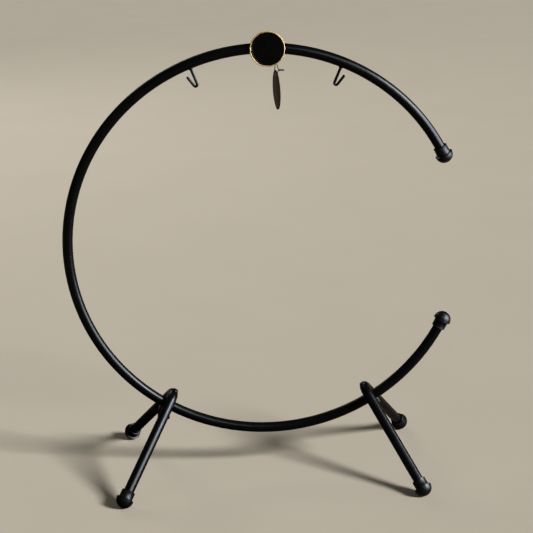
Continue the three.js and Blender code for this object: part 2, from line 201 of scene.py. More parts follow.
# Wear and dust, as all finishes share them
wear = {
    "bevelSamples": 4,
    "edgeSpan": (0.995, 0.90),
    "edgeBreak": (4.0, 0.65),
    "edgePatches": (0.42, 0.62),
    "rise": (0.35, 1.0),
    "dustBreak": (5.0, 0.6),
    "dustPatches": (0.4, 0.7),
    "toneSpan": (0.35, 0.65),
    "noiseSpan": (0.3, 0.7),
}


def toneOf(tree, noise, look):
    share = mapped(tree, noise, *look.get("toneSpan", wear["toneSpan"]))
    return mixed(tree, share, look["deep"], look["pale"])


def wornOver(tree, point, tone, look):
    # bare edges, broken up by noise
    width, breakScale, most = look["edges"]
    geometry = addNode(tree, "ShaderNodeNewGeometry")
    rounded = addNode(tree, "ShaderNodeBevel", {"Radius": width}, samples=wear["bevelSamples"])
    normals = rounded.outputs["Normal"], geometry.outputs["Normal"]
    likeness = reckonVectors(tree, "DOT_PRODUCT", *normals)["Value"]
    noise = noiseOf(tree, point, breakScale, *wear["edgeBreak"])
    patches = mapped(tree, noise, *wear["edgePatches"])
    share = reckon(tree, "MULTIPLY", mapped(tree, likeness, *wear["edgeSpan"]), patches)
    return mixed(tree, reckon(tree, "MULTIPLY", share, most), tone, look["worn"])


def tarnishOver(tree, point, tone, look):
    spots = mapped(tree, noiseOf(tree, point, *look["spots"]), *look["spotSpan"])
    return mixed(tree, spots, tone, look["tarnish"])


def dustOver(tree, point, tone, look):
    # dust settles on what faces up
    normal = addNode(tree, "ShaderNodeTexCoord").outputs["Normal"]
    rise = addNode(tree, "ShaderNodeSeparateXYZ", {"Vector": normal}).outputs["Z"]
    noise = noiseOf(tree, point, look["dustScale"], *wear["dustBreak"])
    patches = mapped(tree, noise, *wear["dustPatches"])
    share = reckon(tree, "MULTIPLY", mapped(tree, rise, *wear["rise"]), patches)
    return mixed(tree, reckon(tree, "MULTIPLY", share, look["dustShare"]), tone, look["dust"])


def dirtOver(tree, point, tone, look):
    # dirt just above the floor
    height = addNode(tree, "ShaderNodeSeparateXYZ", {"Vector": point}).outputs["Z"]
    nearFloor = mapped(tree, height, 0.0, look["dirtHeight"], 1.0, 0.0)
    patches = mapped(tree, noiseOf(tree, point, *look["dirtBreak"]), *look["dirtSpan"])
    return mixed(tree, reckon(tree, "MULTIPLY", nearFloor, patches), tone, look["dirt"])


layers = {"worn": wornOver, "tarnish": tarnishOver, "dust": dustOver, "dirt": dirtOver}


def roughen(tree, shader, noise, look):
    link(tree, mapped(tree, noise, *wear["noiseSpan"], *look["roughness"]), shader, "Roughness")


def emboss(tree, shader, point, look):
    # bumps are a noise, a depth and a strength, the finest first
    normal = None
    for noise, depth, strength in look["bumps"]:
        normal = bumped(tree, noiseOf(tree, point, *noise), depth, strength, normal)
    link(tree, normal, shader, "Normal")


def mixFinish(name, look):
    # two tones, under those layers that the look names
    material, tree, shader, point = startFinish(name, look["shader"])
    drift = noiseOf(tree, point, *look["drift"])
    tone = toneOf(tree, drift, look)
    for layer, lay in layers.items():
        if layer in look:
            tone = lay(tree, point, tone, look)
    link(tree, tone, shader, "Base Color")
    smears = noiseOf(tree, point, *look["smears"]) if "smears" in look else drift
    roughen(tree, shader, smears, look)
    emboss(tree, shader, point, look)
    return material


# A look gives its finish's colours, constants of the shader and noises.
# A noise is its scale, detail, roughness and distortion.

# Satin black powder coat of the ring, the legs and the hooks
coatLook = {
    "shader": {"Specular IOR Level": 0.17},
    "deep": (0.0020, 0.0021, 0.0023, 1),
    "pale": (0.0044, 0.0045, 0.0050, 1),
    "drift": (7.0, 4.0, 0.55),
    "dust": (0.13, 0.12, 0.105, 1),
    "dustScale": 35.0,
    "dustShare": 0.035,
    "smears": (26.0, 5.0, 0.6, 0.4),
    "roughness": (0.25, 0.33),
    "bumps": [((3000, 2.0, 0.5), 0.000012, 0.6), ((520, 2.0, 0.4), 0.000032, 0.5)],
}

# Satin moulded rubber of the caps and feet, dusty where it stands on the floor
rubberLook = {
    "shader": {"Specular IOR Level": 0.2, "Sheen Weight": 0.01},
    "deep": (0.0042, 0.0042, 0.0045, 1),
    "pale": (0.0088, 0.0087, 0.0088, 1),
    "drift": (60.0, 4.0, 0.6),
    "worn": (0.03, 0.029, 0.028, 1),
    "edges": (0.0007, 260.0, 0.55),
    "dirt": (0.10, 0.09, 0.075, 1),
    "dirtBreak": (180.0, 5.0, 0.7),
    "dirtSpan": (0.4, 0.65, 0.0, 0.6),
    "dirtHeight": 0.007,
    "smears": (150.0, 4.0, 0.6),
    "roughness": (0.34, 0.44),
    "bumps": [((2600.0, 2.0, 0.5), 0.00003, 0.7), ((300.0, 2.0, 0.5), 0.00006, 0.4)],
}

# Moulded black nylon of the spacers, saddles, collar and wing nuts
nylonLook = {
    "shader": {"Specular IOR Level": 0.3},
    "deep": (0.0045, 0.0046, 0.005, 1),
    "pale": (0.0095, 0.0095, 0.010, 1),
    "drift": (90.0, 5.0, 0.6, 1.2),
    "worn": (0.04, 0.04, 0.04, 1),
    "edges": (0.0006, 300.0, 0.6),
    "roughness": (0.38, 0.52),
    "bumps": [((2200.0, 3.0, 0.6), 0.00004, 0.6)],
}

# Black zinc on steel: bolts, washers and the badge's nut
zincLook = {
    "shader": {"Metallic": 1.0},
    "deep": (0.016, 0.0165, 0.018, 1),
    "pale": (0.036, 0.0355, 0.034, 1),
    "drift": (220.0, 5.0, 0.6),
    "worn": (0.15, 0.147, 0.14, 1),
    "edges": (0.0004, 420.0, 0.8),
    "smears": (500.0, 4.0, 0.6),
    "roughness": (0.34, 0.48),
    "bumps": [((1800.0, 3.0, 0.6), 0.00003, 0.5)],
}

# Dull brass of the badge's rim
brassLook = {
    "shader": {"Metallic": 1.0},
    "deep": (0.32, 0.215, 0.085, 1),
    "pale": (0.44, 0.315, 0.145, 1),
    "drift": (80.0, 5.0, 0.6),
    "tarnish": (0.25, 0.16, 0.07, 1),
    "spots": (420.0, 5.0, 0.7),
    "spotSpan": (0.6, 0.75, 0.0, 0.5),
    "roughness": (0.5, 0.62),
    "bumps": [((1500.0, 3.0, 0.5), 0.00002, 0.4)],
}

# Nickel of the eyelet
nickelLook = {
    "shader": {"Metallic": 1.0},
    "deep": (0.50, 0.49, 0.46, 1),
    "pale": (0.72, 0.71, 0.68, 1),
    "drift": (500.0, 4.0, 0.6),
    "toneSpan": (0.0, 1.0),
    "roughness": (0.16, 0.3),
    "bumps": [((2500.0, 2.0, 0.5), 0.00001, 0.4)],
}

# Waxed black cotton of the cord
cottonLook = {
    "shader": {"Specular IOR Level": 0.2, "Sheen Weight": 0.03, "Sheen Roughness": 0.5},
    "deep": (0.0022, 0.0021, 0.002, 1),
    "pale": (0.0075, 0.007, 0.0066, 1),
    "drift": (3200.0, 4.0, 0.7),
    "toneSpan": (0.3, 0.7),
    "roughness": (0.6, 0.85),
    "bumps": [((3200.0, 4.0, 0.7), 0.00006, 0.8)],
}


# Black lacquer of the badge, over fine turned rings
lacquerLook = {
    "shader": {"Specular IOR Level": 0.14, "Coat Weight": 0.05, "Coat Roughness": 0.12},
    "deep": (0.0012, 0.0012, 0.0014, 1),
    "pale": (0.0028, 0.0028, 0.0032, 1),
    "drift": (45.0, 4.0, 0.6),
    "smears": (120.0, 5.0, 0.65),
    "roughness": (0.2, 0.32),
    "grooves": 600,
    "grooveBump": (0.00003, 0.6),
}


def lacquerFinish(place):
    look = lacquerLook
    material, tree, shader, point = startFinish("badgeLacquer", look["shader"])
    link(tree, toneOf(tree, noiseOf(tree, point, *look["drift"]), look), shader, "Base Color")
    roughen(tree, shader, noiseOf(tree, point, *look["smears"]), look)
    away = awayFromAxis(tree, point, place, (1, 1, 0))
    wave = reckon(tree, "SINE", reckon(tree, "MULTIPLY", away, look["grooves"] * fullTurn))
    link(tree, bumped(tree, wave, *look["grooveBump"]), shader, "Normal")
    return material


# Brown board of the hang tag, with a plain dark border and a paler cut edge
cardLook = {
    "shader": {"Specular IOR Level": 0.15},
    "deep": (0.088, 0.0600, 0.0460, 1),
    "pale": (0.150, 0.1060, 0.0830, 1),
    "fibre": (420.0, 6.0, 0.7, 0.6),
    "fibreSpan": (0.3, 0.7, 0.2, 1.0),
    "blotch": (90.0, 3.0, 0.6),
    "blotchSpan": (0.3, 0.7, 0.5, 1.0),
    "border": (0.0060, 0.0045, 0.0038, 1),
    "borderSpan": (0.0535, 0.0537),
    "borderShare": 0.92,
    "core": (0.100, 0.072, 0.050, 1),
    "cutFrom": 0.0003,
    "cutTo": 0.0001,
    "cutShare": 0.8,
    "roughness": (0.5, 0.68),
    "bumps": [((420.0, 2.0, 0.5), 0.00003, 0.4)],
}


def cardFinish(place, radius):
    look = cardLook
    material, tree, shader, point = startFinish("tagBoard", look["shader"])
    away = awayFromAxis(tree, point, place, (1, 0, 1))
    fibre = noiseOf(tree, point, *look["fibre"])
    blotch = mapped(tree, noiseOf(tree, point, *look["blotch"]), *look["blotchSpan"])
    share = reckon(tree, "MULTIPLY", mapped(tree, fibre, *look["fibreSpan"]), blotch)
    tone = mixed(tree, share, look["deep"], look["pale"])
    inked = mapped(tree, away, *look["borderSpan"], 0.0, look["borderShare"])
    tone = mixed(tree, inked, tone, look["border"])
    cutSpan = radius - look["cutFrom"], radius - look["cutTo"]
    cut = mapped(tree, away, *cutSpan, 0.0, look["cutShare"])
    link(tree, mixed(tree, cut, tone, look["core"]), shader, "Base Color")
    roughen(tree, shader, fibre, look)
    emboss(tree, shader, point, look)
    return material


# Small tools for the meshes
def only(geometry, kind):
    return [item for item in geometry if isinstance(item, kind)]


def discFace(bm, radius, sides, place, bore=0):
    if bore == 0:
        made = bmesh.ops.create_circle(
            bm, cap_ends=True, segments=sides, radius=radius, matrix=place
        )
        return list({face for vert in made["verts"] for face in vert.link_faces})
    loops = []
    for size in (radius, bore):
        loops += bmesh.ops.create_circle(bm, segments=sides, radius=size, matrix=place)["verts"]
    edges = list({edge for vert in loops for edge in vert.link_edges})
    return bmesh.ops.bridge_loops(bm, edges=edges)["faces"]


def regionOf(faces):
    # with its edges named too, an extrusion leaves no face behind inside
    return faces + list({edge for face in faces for edge in face.edges})


def placeOn(bm, faces, move):
    made = bmesh.ops.extrude_face_region(bm, geom=regionOf(faces))["geom"]
    bmesh.ops.transform(bm, matrix=move, verts=only(made, bmesh.types.BMVert))
    return only(made, bmesh.types.BMFace)


def runOn(bm, faces, run):
    return placeOn(bm, faces, Matrix.Translation(run))


def turnOn(bm, faces, centre, axis, angle, steps):
    made = bmesh.ops.spin(
        bm, geom=regionOf(faces), cent=centre, axis=axis, angle=angle, steps=steps
    )
    return only(made["geom_last"], bmesh.types.BMFace)


def domeOn(bm, faces, along, radius, steps, flat):
    # the end of a round bar, drawn in to a small flat
    centre = sum((vert.co for vert in faces[0].verts), Vector()) / len(faces[0].verts)
    height, width = 0.0, 1.0
    for step in range(1, steps + 1):
        angle = rightAngle * step / (steps + flat)
        rise = radius * math.sin(angle)
        faces = runOn(bm, faces, along * (rise - height))
        height = rise
        share = math.cos(angle) / width
        width = math.cos(angle)
        space = Matrix.Translation(-(centre + along * height))
        verts = list({vert for face in faces for vert in face.verts})
        bmesh.ops.scale(bm, verts=verts, vec=(share,) * 3, space=space)
    return faces


def lathed(profile, sides, closed=False):
    # spins an outline of (radius, height) pairs round Z
    bm = bmesh.new()
    verts = [bm.verts.new((radius, 0, height)) for radius, height in profile]
    pairs = list(zip(verts, verts[1:]))
    if closed:
        pairs.append((verts[-1], verts[0]))
    edges = [bm.edges.new(pair) for pair in pairs]
    bmesh.ops.spin(
        bm,
        geom=verts + edges,
        cent=(0, 0, 0),
        axis=(0, 0, 1),
        angle=fullTurn,
        steps=sides,
        use_merge=True,
    )
    bmesh.ops.remove_doubles(bm, verts=bm.verts, dist=mergeDistance)
    return bm


def moved(bm, move):
    bmesh.ops.transform(bm, matrix=move, verts=bm.verts)
    return bm


def arcPoints(across, height, radius, start, end, steps):
    angles = [start + (end - start) * step / steps for step in range(steps + 1)]
    return [(across + radius * math.cos(a), height + radius * math.sin(a)) for a in angles]


def flattened(points, base, share):
    # draws points above a base down towards it
    return [(radius, base + (height - base) * share) for radius, height in points]


def bevelled(bm, edges, width, segments):
    bmesh.ops.bevel(
        bm,
        geom=edges,
        offset=width,
        offset_type="OFFSET",
        affect="EDGES",
        segments=segments,
        profile=0.5,
        clamp_overlap=True,
        material=-1,
    )


def soften(bm, width, segments=3):
    # rounds every sharp edge
    bmesh.ops.recalc_face_normals(bm, faces=bm.faces)
    sharp = [e for e in bm.edges if len(e.link_faces) == 2 and e.calc_face_angle() > creaseAngle]
    bevelled(bm, sharp, width, segments)


def asObject(name, bm):
    mesh = bpy.data.meshes.new(name)
    bm.to_mesh(mesh)
    bm.free()
    return intoScene(name, mesh)


def carved(bm, tool, operation="DIFFERENCE"):
    # cuts or joins one closed shape with another
    for shape in (bm, tool):
        bmesh.ops.recalc_face_normals(shape, faces=shape.faces)
    body = asObject("carvedBody", bm)
    cutter = asObject("carvedTool", tool)
    cut = body.modifiers.new("cut", "BOOLEAN")
    cut.operation = operation
    cut.solver = "EXACT"
    cut.object = cutter
    bpy.context.view_layer.update()
    result = bmesh.new()
    result.from_object(body, bpy.context.evaluated_depsgraph_get())
    for spent in (body, cutter):
        mesh = spent.data
        bpy.data.objects.remove(spent)
        bpy.data.meshes.remove(mesh)
    bmesh.ops.remove_doubles(result, verts=result.verts, dist=mergeDistance)
    return result


def finishPiece(name, bm, finish, node, place=None, body="stand_frame"):
    if place is not None:
        moved(bm, place)
    bmesh.ops.recalc_face_normals(bm, faces=bm.faces)
    for face in bm.faces:
        face.smooth = True
    for edge in bm.edges:
        edge.smooth = len(edge.link_faces) == 2 and edge.calc_face_angle() < creaseAngle
    piece = asObject(name, bm)
    piece.data.materials.append(finish)
    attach(piece, body)
    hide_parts(node)
    return piece


# Frames of the tag and the badge, which their finishes follow too
tag = {
    "radius": 0.0595, "thickness": 0.0016, "across": 0.0388, "drop": 0.1263, "turn": -82.5,
    "lean": -1.3, "holeDrop": 0.0121, "holeRadius": 0.003, "holeSides": 32, "sides": 128,
    "edge": 0.00025,
}
tagTurn = turned(math.radians(tag["lean"]), "Y") @ turned(math.radians(tag["turn"]), "Z")
tagPlace = ringFrame @ shifted(tag["across"], 0, ring["radius"] - tag["drop"]) @ tagTurn
badgePlace = crownFrame(crownTurn) @ turned(rightAngle, "X")

powderCoat = mixFinish("powderCoat", coatLook)
capRubber = mixFinish("capRubber", rubberLook)
blackNylon = mixFinish("blackNylon", nylonLook)
blackZinc = mixFinish("blackZinc", zincLook)
badgeLacquer = lacquerFinish(badgePlace)
brassTrim = mixFinish("brassTrim", brassLook)
tagBoard = cardFinish(tagPlace, tag["radius"])
eyeletNickel = mixFinish("eyeletNickel", nickelLook)
cordCotton = mixFinish("cordCotton", cottonLook)
print("finishes mixed")

# Cord of the tag: a loop over the tube and through the eyelet, closed by its knot.
# Its places are in the ring's frame.
cord = {
    "diameter": 0.0022, "plies": 3, "plySides": 6, "plyDepth": 0.14, "plySwell": 1.05,
    "lay": 0.0075, "step": 0.0006, "splineSteps": 24,
    "route": [
        (0.0452, 0.0015, 0.5554), (0.0435, 0.0024, 0.5591), (0.0417, 0.0044, 0.5664),
        (0.0405, 0.0076, 0.5774), (0.0395, 0.0120, 0.5914), (0.0388, 0.0160, 0.6054),
        (0.0386, 0.0175, 0.6178), (0.0391, 0.0151, 0.6265), (0.0395, 0.0087, 0.6329),
        (0.0397, 0.0000, 0.6353), (0.0395, -0.0087, 0.6329), (0.0391, -0.0151, 0.6265),
        (0.0386, -0.0175, 0.6178), (0.0382, -0.0160, 0.6054), (0.0374, -0.0119, 0.5909),
        (0.0361, -0.0072, 0.5764), (0.0347, -0.0034, 0.5634), (0.0337, -0.0014, 0.5519),
        (0.0332, -0.0006, 0.5449), (0.0345, -0.0004, 0.5417), (0.0378, 0.0000, 0.5403),
        (0.0411, 0.0004, 0.5417), (0.0427, 0.0006, 0.5445), (0.0448, 0.0007, 0.5488),
    ],
}
knot = {
    "place": (0.0469, 0.0008, 0.5520),
    "size": 0.00105, "depthShare": 0.85, "steps": 90, "stubShare": 0.2,
    "tailLength": 0.0155, "tailSpread": 0.0025,
    "tailDroops": (-0.0006, 0.0002),
    "tailStations": (0, 0.3, 0.65, 1),
}


def smoothRoute(points, step):
    # centripetal spline through the points, cut into even steps
    points = [Vector(point) for point in points]
    ends = [2 * points[0] - points[1]] + points + [2 * points[-1] - points[-2]]
    fine = [points[0]]
    for a, b, c, d in zip(ends, ends[1:], ends[2:], ends[3:]):
        knots = [0.0]
        for start, end in ((a, b), (b, c), (c, d)):
            knots.append(knots[-1] + math.sqrt((end - start).length))
        count = cord["splineSteps"]
        for index in range(1, count + 1):
            t = knots[1] + (knots[2] - knots[1]) * index / count
            level = [a, b, c, d]
            for depth in (1, 2, 3):
                pairs = enumerate(zip(level, level[1:]))
                level = [blendPoints(*pair, t, *spanOf(knots, i, depth)) for i, pair in pairs]
            fine.append(level[0])
    return evenly(fine, step)


def spanOf(knots, index, depth):
    if depth == 1:
        return knots[index], knots[index + 1]
    if depth == 2:
        return knots[index], knots[index + 2]
    return knots[1], knots[2]


def blendPoints(first, second, t, start, end):
    share = (t - start) / (end - start)
    return first * (1 - share) + second * share


def evenly(points, step):
    lengths = [0.0]
    for start, end in zip(points, points[1:]):
        lengths.append(lengths[-1] + (end - start).length)
    count = max(2, round(lengths[-1] / step))
    result = []
    at = 0
    for index in range(count + 1):
        goal = lengths[-1] * index / count
        while at < len(lengths) - 2 and lengths[at + 1] < goal:
            at += 1
        share = (goal - lengths[at]) / (lengths[at + 1] - lengths[at])
        result.append(points[at].lerp(points[at + 1], share))
    return result


def lineLength(points):
    return sum((end - start).length for start, end in zip(points, points[1:]))


def twistedCordOn(bm, path, radius):
    # a three-ply twist, swept station by station
    sides = cord["plies"] * cord["plySides"]
    direction = (path[1] - path[0]).normalized()
    place = Matrix.Translation(path[0]) @ direction.to_track_quat("Z", "Y").to_matrix().to_4x4()
    faces = discFace(bm, radius * cord["plySwell"], sides, Matrix.Identity(4))
    section = faces[0].verts[:]
    for vert in section:
        angle = math.atan2(vert.co.y, vert.co.x)
        vert.co *= 1 - cord["plyDepth"] * (1 - abs(math.cos(cord["plies"] * angle / 2)))
    bmesh.ops.transform(bm, matrix=place, verts=section)
    travel = lineLength(path) / (len(path) - 1)
    twist = Matrix.Rotation(fullTurn * travel / cord["lay"], 4, "Z")
    for index in range(1, len(path)):
        ahead = path[min(index + 1, len(path) - 1)] - path[index - 1]
        bend = direction.rotation_difference(ahead.normalized()).to_matrix().to_4x4()
        direction = ahead.normalized()
        turn = (bend @ place).to_3x3().to_4x4()
        turn.translation = path[index]
        following = turn @ twist
        faces = placeOn(bm, faces, following @ place.inverted())
        place = following


def addTagCord():
    path = smoothRoute([ringFrame @ Vector(point) for point in cord["route"]], cord["step"])
    bm = bmesh.new()
    twistedCordOn(bm, path, cord["diameter"] / 2)
    piece = finishPiece("tagCordLoop", bm, cordCotton, "tag_cord", body="hang_tag")
    closing = addKnot()


def addKnot():
    # an overhand knot, with its two cut ends to the right
    place = ringFrame @ Vector(knot["place"])
    width = cord["diameter"] / 2
    loop = []
    for index in range(knot["steps"] + 1):
        t = fullTurn * index / knot["steps"]
        depth = knot["depthShare"] * (math.cos(t) - 2 * math.cos(2 * t))
        across, along = -math.sin(3 * t), math.sin(t) + 2 * math.sin(2 * t)
        loop.append(place + knot["size"] * Vector((across, along, depth)))
    bm = bmesh.new()
    twistedCordOn(bm, evenly(loop, cord["step"]), width)
    for end in (cord["route"][0], cord["route"][-1]):
        end = ringFrame @ Vector(end)
        past = (end - place).normalized() * cord["diameter"] * knot["stubShare"]
        stub = evenly([place, place.lerp(end, 0.5), end, end + past], cord["step"])
        twistedCordOn(bm, stub, width)
    length, stations = knot["tailLength"], knot["tailStations"]
    for side, droop in zip((-1, 1), knot["tailDroops"]):
        start = place + Vector((0, 0, side * knot["tailSpread"] / 2))
        points = [start + Vector((length * s, 0, droop * s * s)) for s in stations]
        twistedCordOn(bm, smoothRoute(points, cord["step"]), width)
    return finishPiece("tagCordKnot", bm, cordCotton, "tag_knot", body="hang_tag")


addTagCord()


# Badge: plate with its stud, rim, collar and cap nut
badge = {
    "radius": 0.05275, "rimWidth": 0.0034, "rimDepth": 0.0046, "plateThickness": 0.0036,
    "crown": 0.0005,
    "crownStations": (0.95, 0.75, 0.5, 0.25),
    "borderWidth": 0.0032, "borderRise": 0.0005, "collarRadius": 0.012, "standoff": 0.0043,
    "collarGrip": 0.005, "studRadius": 0.003, "studHole": 0.0034, "nutAcross": 0.0065,
    "nutHeight": 0.008, "hexShare": 0.5, "domeShare": 0.82, "domeSink": 0.0002,
    "domeFlatShare": 0.76, "domeSteps": 10, "domeSides": 36, "rimFoot": 0.0004,
    "beadRiseShare": 0.8, "beadFlatShare": 0.45, "beadStart": 0.12, "beadSteps": 10,
    "rimSides": 160, "seat": 0.0001, "edge": 0.0003, "backEdge": 0.0005, "collarSides": 48,
    "sides": 128,
}
collarFront = tube["radius"] + badge["standoff"]
badgeBack = collarFront + badge["seat"]
plateRadius = badge["radius"] - badge["rimWidth"]


# Ring tube: one open turn of tube, drilled for the clamp bolts and the badge's stud
def ringPoint(angle):
    return Vector((ring["radius"] * math.cos(angle), 0, ring["radius"] * math.sin(angle)))


def ringStretch(radius, start, end, steps, bore=0):
    bm = bmesh.new()
    place = Matrix.Translation(ringPoint(start)) @ turned(-start, "Y")
    faces = discFace(bm, radius, tube["sides"], place, bore)
    turnOn(bm, faces, (0, 0, 0), (0, -1, 0), end - start, steps)
    return bm


def boltDrill(radius, low, high):
    return lathed([(0, low), (radius, low), (radius, high), (0, high)], tube["drillSides"])


def addRingTube():
    start = math.radians(ring["upperEnd"])
    end = fullTurn + math.radians(ring["lowerEnd"])
    bm = ringStretch(tube["radius"], start, end, ring["steps"], tube["radius"] - tube["wall"])
    holes = [(tube["boltHole"], legFrame(side)) for side in (-1, 1)]
    holes.append((badge["studHole"], badgePlace))
    for radius, place in holes:
        drill = boltDrill(radius, -tube["drillReach"], tube["drillReach"])
        bm = carved(bm, moved(drill, ringFrame.inverted() @ place))
    finishPiece("ringTube", bm, powderCoat, "ring_tube", ringFrame)


def ringCutter(reach, side):
    # a stretch of the ring at its top (1) or its foot (-1), brought to the origin
    half = reach / ring["radius"]
    middle = side * rightAngle
    outer = tube["radius"] + tube["seat"]
    bm = ringStretch(outer, middle - half, middle + half, tube["cutterSteps"])
    return moved(bm, shifted(0, 0, -side * ring["radius"]))


addRingTube()
print("ring bent")


def addPlate():
    border = plateRadius - badge["borderWidth"]
    front = badgeBack + badge["plateThickness"]
    sunk = front - badge["borderRise"]
    studEnd = tube["radius"] + badge["nutHeight"] / 2
    profile = [
        (0, -studEnd),
        (badge["studRadius"], -studEnd),
        (badge["studRadius"], badgeBack),
        (plateRadius, badgeBack),
        (plateRadius, front),
        (border, front),
        (border - badge["borderRise"], sunk),
        *[(border * s, sunk + badge["crown"] * (1 - s * s)) for s in badge["crownStations"]],
        (0, sunk + badge["crown"]),
    ]
    bm = lathed(profile, badge["sides"])
    soften(bm, badge["edge"])
    finishPiece("badgePlate", bm, badgeLacquer, "badge_plate", badgePlace)


def addRim():
    inner, outer, foot = plateRadius + badge["seat"], badge["radius"], badge["rimFoot"]
    half = badge["rimWidth"] / 2
    base = badgeBack + badge["rimDepth"] - half * badge["beadRiseShare"]
    start = badge["beadStart"]
    bead = arcPoints((inner + outer) / 2, base, half, start, math.pi - start, badge["beadSteps"])
    profile = [(inner, badgeBack), (outer - foot, badgeBack), (outer, badgeBack + foot)]
    profile += flattened(bead, base, badge["beadFlatShare"])
    bm = lathed(profile, badge["rimSides"], closed=True)
    finishPiece("badgeRim", bm, brassTrim, "badge_bezel", badgePlace)


def addCollar():
    low, foot, bore = tube["radius"] - badge["collarGrip"], badge["collarRadius"], badge["studHole"]
    profile = [(bore, low), (foot, low), (foot, collarFront), (bore, collarFront)]
    bm = lathed(profile, badge["collarSides"], closed=True)
    soften(bm, badge["backEdge"])
    bm = carved(bm, moved(ringCutter(2 * foot, 1), turned(-rightAngle, "X")))
    finishPiece("badgeCollar", bm, blackNylon, "badge_collar", badgePlace)


def addCapNut():
    across, height = badge["nutAcross"], badge["nutHeight"] * badge["hexShare"]
    bm = bmesh.new()
    bmesh.ops.create_cone(
        bm,
        cap_ends=True,
        segments=6,
        radius1=across,
        radius2=across,
        depth=height,
        matrix=shifted(0, 0, height / 2),
    )
    soften(bm, badge["backEdge"], 2)
    radius, base = across * badge["domeShare"], height - badge["domeSink"]
    shell = arcPoints(0, base, radius, 0, rightAngle, badge["domeSteps"])[:-1]
    shell = flattened(shell, base, badge["domeFlatShare"])
    tip = base + radius * badge["domeFlatShare"]
    profile = [(0, height / 2), (radius, height / 2), *shell, (0, tip)]
    bm = carved(bm, lathed(profile, badge["domeSides"]), "UNION")
    place = badgePlace @ shifted(0, 0, -tube["radius"] - badge["seat"]) @ turned(math.pi, "X")
    finishPiece("badgeCapNut", bm, blackZinc, "badge_nut", place)


addPlate()
addRim()
addCollar()
addCapNut()
print("badge fixed")


# Rubber caps: the same moulding on the ring's ends and on the feet
def capShape():
    length, waist = caps["sleeveLength"], caps["sleeveRadius"]
    mouth, root = waist + caps["lipProud"], waist + caps["sleeveTaper"]
    inside, back = length - caps["roof"], length - caps["shoulder"]
    bore, chamfer, fillet = caps["bore"], caps["mouthChamfer"], caps["mouthRound"]
    rim, edge, turn = caps["rimRadius"], caps["rimEdge"], length - caps["rimTurn"]
    profile = [
        (0, inside),
        (bore, inside),
        (bore, chamfer),
        (bore + chamfer, 0),
        (mouth - fillet, 0),
        (mouth, fillet),
        (mouth, caps["lip"]),
        (waist, caps["lip"] + caps["lipStep"]),
        *[(root + out, back - down) for out, down in caps["fillet"]],
        *[(rim - inwards * edge, turn + onwards * edge) for inwards, onwards in caps["rimShares"]],
        (rim - caps["rimBackShare"] * edge, length),
    ]
    profile += arcPoints(0, length, caps["domeRadius"], 0, rightAngle, caps["domeSteps"])[1:-1]
    profile.append((0, length + caps["domeRadius"]))
    return lathed(profile, caps["sides"])


def addRingCap(name, node, endAngle, direction):
    middle = endAngle + direction * halfCap
    place = ringFrame @ Matrix.Translation(ringPoint(middle))
    place = place @ turned(math.pi - middle if direction > 0 else -middle, "Y")
    place = place @ shifted(0, 0, -caps["sleeveLength"] / 2)
    finishPiece(name, capShape(), capRubber, node, place)


addRingCap("ringCapUpper", "ring_cap_upper", math.radians(ring["upperEnd"]), 1)
addRingCap("ringCapLower", "ring_cap_lower", math.radians(ring["lowerEnd"]), -1)
print("ring capped")

# Gong hooks: a bent rod, welded to the ring's inside
hooks = {
    "turn": 0.8, "spread": 21.95, "rod": 0.004, "depth": 0.0745, "bend": 0.0054,
    "opening": 16, "tipDepth": 0.0375, "root": 0.006, "bendSteps": 20, "tipSteps": 7,
    "tipFlat": 0.6, "weldRadius": 0.0085, "weldHeight": 0.007, "weldSink": 0.0004,
    "weldSteps": 8, "weldSides": 72, "ripple": 0.00022, "rippleLobes": 11,
    "rippleRise": 900, "rippleFrom": 1.02, "sides": 36,
}


def addHook(name, node, side):
    opening = math.radians(hooks["opening"])
    rootZ = hooks["root"] - tube["radius"]
    bendZ = -(hooks["depth"] - hooks["rod"]) + hooks["bend"]
    bm = bmesh.new()
    faces = discFace(bm, hooks["rod"], hooks["sides"], shifted(0, 0, rootZ))
    faces = runOn(bm, faces, Vector((0, 0, bendZ - rootZ)))
    centre = (side * hooks["bend"], 0, bendZ)
    faces = turnOn(bm, faces, centre, (0, -side, 0), math.pi - opening, hooks["bendSteps"])
    along = Vector((side * math.sin(opening), 0, math.cos(opening)))
    height = sum(vert.co.z for vert in faces[0].verts) / len(faces[0].verts)
    faces = runOn(bm, faces, along * ((-hooks["tipDepth"] - height) / math.cos(opening)))
    domeOn(bm, faces, along, hooks["rod"], hooks["tipSteps"], hooks["tipFlat"])
    bm = carved(bm, weldBead(rootZ - hooks["weldSink"]), "UNION")
    bm = carved(bm, ringCutter(2 * hooks["weldRadius"], 1))
    place = crownFrame(math.radians(hooks["turn"] + side * hooks["spread"]))
    finishPiece(name, bm, powderCoat, node, place)


def weldBead(root):
    # flares from the rod out to the tube, with a faint ripple round it
    neck = hooks["rod"] - hooks["weldSink"]
    spread = hooks["weldRadius"] - neck
    profile = [(0, root), (hooks["weldRadius"], root)]
    for step in range(hooks["weldSteps"] + 1):
        bend = rightAngle * step / hooks["weldSteps"]
        drop = hooks["weldHeight"] * (1 - math.cos(bend))
        profile.append((neck + spread * (1 - math.sin(bend)), -tube["radius"] - drop))
    profile.append((0, -tube["radius"] - hooks["weldHeight"]))
    bead = lathed(profile, hooks["weldSides"])
    for vert in bead.verts:
        angle = math.atan2(vert.co.y, vert.co.x)
        away = vert.co.xy.length
        if away > hooks["rod"] * hooks["rippleFrom"]:
            swell = math.sin(hooks["rippleLobes"] * angle + hooks["rippleRise"] * vert.co.z)
            vert.co.xy *= 1 + hooks["ripple"] * swell / away
    return bead


addHook("gongHookLeft", "hook_left", -1)
addHook("gongHookRight", "hook_right", 1)
print("hooks welded")


# Hang tag: the board and its eyelet
eyelet = {
    "wall": 0.0006, "flange": 0.0016, "proud": 0.0007, "fit": 0.0001, "seat": 0.0001,
    "steps": 12, "sides": 40,
}
holeHeight = tag["radius"] - tag["holeDrop"]


